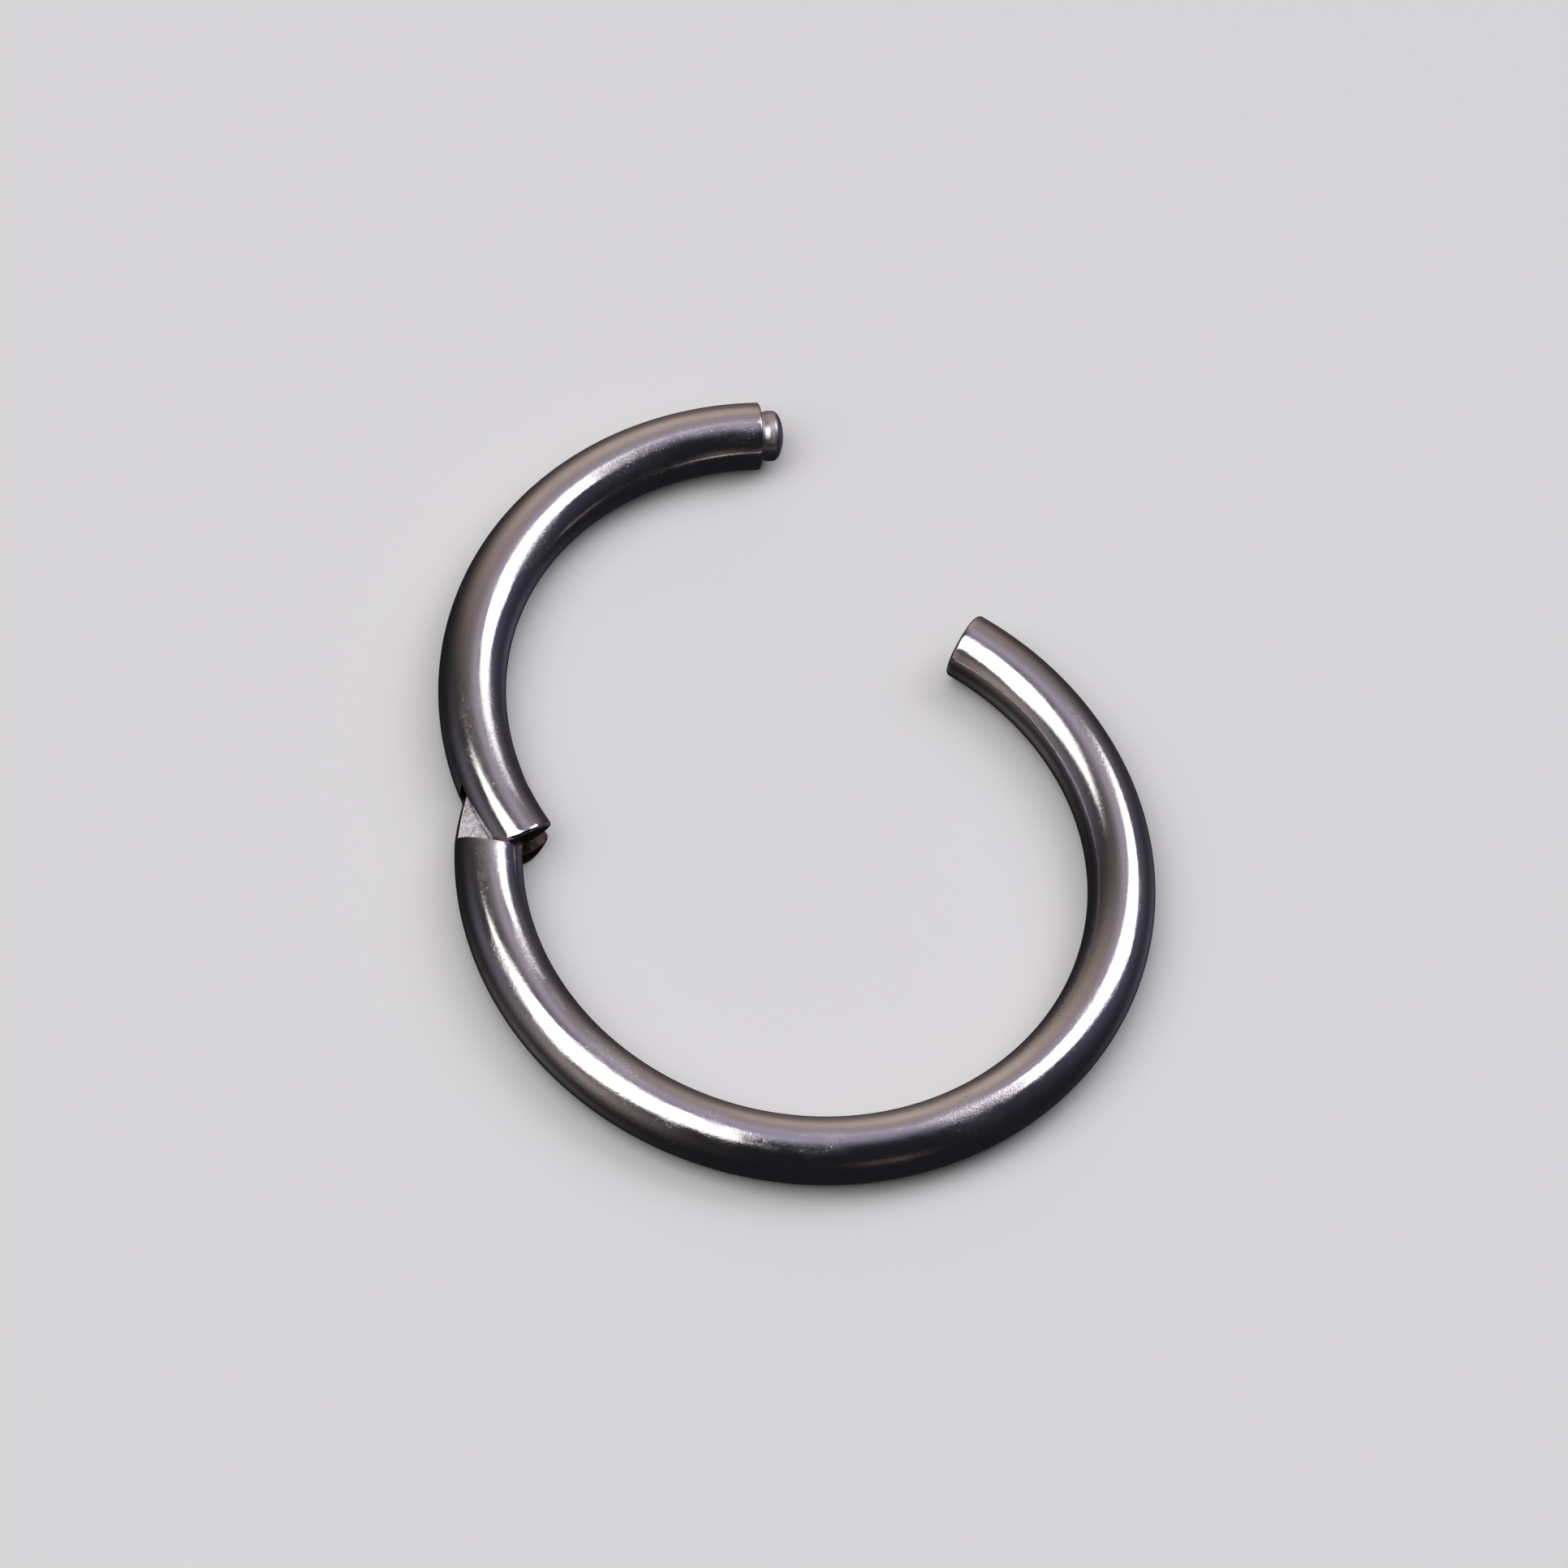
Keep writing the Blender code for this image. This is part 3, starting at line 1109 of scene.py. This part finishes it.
@dataclass
class HingePin:
    """The pin, which stands in the ears and turns in the tongue."""

    hoop: Hoop
    name: str = "pin"
    node: str = "hinge_pin"
    radius: float = 0.24 * MM
    half_length: float = 0.49 * MM
    chamfer: float = 0.03 * MM
    sides: int = 64
    sharp_angle: float = math.radians(30.0)
    skin: Skin = field(default_factory=Skin)

    def build(self) -> bpy.types.Object:
        """Makes the pin.

        Returns:
            The piece.
        """
        top, inner = self.half_length, self.radius - self.chamfer
        side = top - self.chamfer
        profile = [(-top, inner), (-side, self.radius), (side, self.radius), (top, inner)]
        loops = []
        for up, radius in profile:
            turns = spread(0.0, 2 * math.pi, self.sides)
            loops.append([self.hoop.around_pivot(turn, radius, up) for turn in turns])
        self.skin.grid(loops, Finish.TURNED)
        for loop in (loops[0], loops[-1]):
            self.skin.disc(loop[:-1], Finish.TURNED)
        piece = self.skin.build(self.name)
        piece.data.set_sharp_from_angle(angle=self.sharp_angle)
        chart = WireMap(self.hoop.centre, self.hoop.height, self.hoop.radius, math.pi / 2)
        steel = TURNED_STEEL.make("pin_steel", chart)
        for _ in Finish:
            piece.data.materials.append(steel)
        tie(piece, Link.SHORT, self.node)
        return piece


# Studio


def bearing(azimuth: float, elevation: float) -> Vector:
    """Unit vector towards a place in the studio.

    Args:
        azimuth: Degrees to the right of +Y, which is nearly straight ahead of the camera.
        elevation: Degrees above the floor.

    Returns:
        The direction.
    """
    side, high = math.radians(azimuth), math.radians(elevation)
    return Vector((math.sin(side) * math.cos(high), math.cos(side) * math.cos(high), math.sin(high)))


@dataclass(frozen=True)
class SoftLight:
    """A rectangle of soft light that looks at the ring, with its direction and turn in degrees."""

    name: str
    azimuth: float
    elevation: float
    width: float
    height: float
    radiance: float
    colour: tuple[float, float, float] = (1.0, 0.99, 0.985)
    distance: float = 0.30
    turn: float = 0.0
    mirrored: bool = True

    def hang(self) -> None:
        """Hangs the light; one that isn't mirrored lights the floor but doesn't show in the steel."""
        lamp = bpy.data.lights.new(self.name, "AREA")
        lamp.shape = "RECTANGLE"
        lamp.size, lamp.size_y = self.width, self.height
        lamp.energy = self.radiance * math.pi * self.width * self.height
        lamp.color = self.colour
        made = bpy.data.objects.new(self.name, lamp)
        made.visible_glossy = self.mirrored
        bpy.context.scene.collection.objects.link(made)
        towards = bearing(self.azimuth, self.elevation)
        aim = towards.to_track_quat("Z", "Y").to_matrix().to_4x4()
        spin = Matrix.Rotation(math.radians(self.turn), 4, "Z")
        made.matrix_world = Matrix.Translation(towards * self.distance) @ aim @ spin


@dataclass(frozen=True)
class Glow:
    """A round, soft patch of light in the room, with its direction and width in degrees."""

    azimuth: float
    elevation: float
    width: float
    colour: tuple[float, float, float]

    def shine(self, graph: Graph, here: Signal) -> Signal:
        """Adds the nodes of the patch.

        Args:
            graph: The room's nodes.
            here: The direction looked in.

        Returns:
            Its colour there.
        """
        nearness = graph.vector("DOT_PRODUCT", here, bearing(self.azimuth, self.elevation)[:])
        strength = graph.math("EXPONENT", (nearness - 1.0) / math.radians(self.width) ** 2)
        return graph.vector("SCALE", self.colour, strength)


@dataclass
class Studio:
    """Floor, room and lights."""

    lights: list[SoftLight]
    glows: list[Glow]
    room: tuple[float, float, float] = (0.012, 0.012, 0.014)
    floor_colour: tuple[float, float, float] = (0.80, 0.80, 0.80)
    floor_rough: float = 0.45
    floor_size: float = 3.0
    floor_drop: float = 6.0 * MICRON

    def lay_floor(self) -> None:
        """Lays the plain pale floor just under the wire, where the steel doesn't mirror it."""
        half = self.floor_size / 2
        corners = [(-half, -half, 0.0), (half, -half, 0.0), (half, half, 0.0), (-half, half, 0.0)]
        mesh = bpy.data.meshes.new("floor")
        mesh.from_pydata(corners, [], [(0, 1, 2, 3)])
        floor = bpy.data.objects.new("floor", mesh)
        floor.location.z = -self.floor_drop
        bpy.context.scene.collection.objects.link(floor)
        material = bpy.data.materials.new("pale_floor")
        material.use_nodes = True
        shader = material.node_tree.nodes["Principled BSDF"]
        shader.inputs["Base Color"].default_value = (*self.floor_colour, 1.0)
        shader.inputs["Roughness"].default_value = self.floor_rough
        mesh.materials.append(material)
        floor.visible_glossy = False

    def light_room(self) -> None:
        """Gives the room its dim light, with a glow where a wall is lit."""
        world = bpy.data.worlds.new("room")
        bpy.context.scene.world = world
        world.use_nodes = True
        graph = Graph(world.node_tree)
        here = Signal(graph, graph.add("ShaderNodeTexCoord").outputs["Generated"])
        total: object = self.room
        for glow in self.glows:
            total = graph.vector("ADD", total, glow.shine(graph, here))
        background = world.node_tree.nodes["Background"]
        graph.tree.links.new(total.socket, background.inputs["Color"])

    def set_up(self) -> None:
        """Sets up everything."""
        self.lay_floor()
        self.light_room()
        for light in self.lights:
            light.hang()
        bpy.context.scene.view_settings.view_transform = "Standard"


@dataclass(frozen=True)
class Viewpoint:
    """Where the photograph was taken from.

    Angles are in degrees, the lens and the sensor in millimetres, and the picture's width and the place
    of the ring's centre in it in pixels. It sees what lies between nearest and farthest, in metres.
    """

    azimuth: float = 1.08
    elevation: float = 59.03
    roll: float = 12.71
    distance: float = 285.86 * MM
    lens: float = 372.67
    sensor: float = 36.0
    picture: float = 1932.0
    centre_right: float = 987.8
    centre_down: float = 1094.9
    nearest: float = 0.01
    farthest: float = 10.0

    def place(self, centre: Vector) -> None:
        """Makes the camera.

        Args:
            centre: The ring's centre, at the floor.
        """
        high, roll = math.radians(self.elevation), math.radians(self.roll)
        back = Vector((0.0, -math.cos(high), math.sin(high)))
        level = Vector((1.0, 0.0, 0.0))
        upright = back.cross(level)
        right = level * math.cos(roll) + upright * math.sin(roll)
        top = upright * math.cos(roll) - level * math.sin(roll)
        focal = self.lens / self.sensor * self.picture
        aside = (self.centre_right - self.picture / 2) * self.distance / focal
        above = (self.picture / 2 - self.centre_down) * self.distance / focal
        spot = back * self.distance - right * aside - top * above
        turn = Matrix.Rotation(math.radians(self.azimuth), 3, "Z")
        axes = Matrix((turn @ right, turn @ top, turn @ back)).transposed()
        data = bpy.data.cameras.new("camera")
        data.lens, data.sensor_width = self.lens, self.sensor
        data.clip_start, data.clip_end = self.nearest, self.farthest
        camera = bpy.data.objects.new("camera", data)
        bpy.context.scene.collection.objects.link(camera)
        camera.matrix_world = Matrix.Translation(centre + turn @ spot) @ axes.to_4x4()
        bpy.context.scene.camera = camera


LIGHTS = [
    SoftLight("light_left", -121.0, 60.5, 0.240, 0.272, 2.06, turn=-33.0),
    SoftLight("light_right", 44.5, 49.0, 0.172, 0.184, 2.06, (0.96, 0.955, 1.0), turn=8.0),
    SoftLight("light_above", 0.0, 90.0, 0.90, 0.90, 0.60, (1.0, 1.0, 1.0), distance=0.60, mirrored=False),
]
GLOWS = [
    Glow(-18.0, 24.0, 20.0, (0.53, 0.435, 0.38)),
    Glow(5.0, 65.0, 12.0, (0.30, 0.27, 0.35)),
    Glow(25.0, 87.0, 9.0, (0.27, 0.27, 0.36)),
    Glow(-134.0, 12.0, 14.0, (0.31, 0.26, 0.245)),
    Glow(-100.0, 10.0, 13.0, (0.10, 0.095, 0.12)),
    Glow(54.0, 32.0, 22.0, (0.07, 0.065, 0.11)),
    Glow(-8.0, -25.0, 12.0, (0.10, 0.08, 0.085)),
    Glow(50.0, -34.0, 13.0, (0.075, 0.065, 0.10)),
    Glow(-110.0, -48.0, 12.0, (0.09, 0.08, 0.075)),
    Glow(141.0, 10.0, 5.0, (0.10, 0.075, 0.06)),
]


def build_hoop() -> Hoop:
    """Reads the hinge's axis and the wire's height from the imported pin.

    Returns:
        The ring's own line.
    """
    low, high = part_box("hinge_pin")
    middle = (low + high) / 2
    return Hoop(Vector((middle.x, middle.y, 0.0)), middle.z)


def main() -> None:
    """Builds the ring, the studio and the camera."""
    logging.basicConfig(level=logging.INFO, format="%(name)s %(message)s")
    hoop = build_hoop()
    tip_turn = MOUTH_TURN - 2 * math.pi + MOUTH_GAP / hoop.radius
    long_arc = LongArc(
        hoop,
        "long_wire_arc",
        Link.LONG,
        "long_segment",
        flat_half=TONGUE_HALF,
        round_reach=TONGUE_REACH,
        wall_reach=SHOULDER_REACH,
        far_turn=MOUTH_TURN,
        tongue=True,
        finish=PolishedSteel(seed=1.0, worn_to=8.0),
        rim=0.07 * MM,
        taper=0.11 * MM,
    )
    long_arc.build(tip_turn)
    short_arc = ShortArc(
        hoop,
        "short_wire_arc",
        Link.SHORT,
        "hinged_segment",
        flat_half=SLOT_HALF,
        round_reach=SLOT_REACH,
        wall_reach=EAR_REACH,
        far_turn=tip_turn,
        tongue=False,
        finish=PolishedSteel(seed=40.0, grain_depth=2.6),
        # Its cut faces carry painted shade as well as brown stain.
        cut=STAINED_AND_SHADED_STEEL,
        brow=0.06 * MM,
    )
    short_arc.build()
    HingePin(hoop).build()
    Studio(LIGHTS, GLOWS).set_up()
    Viewpoint().place(hoop.centre)


if __name__ == "__main__":
    main()
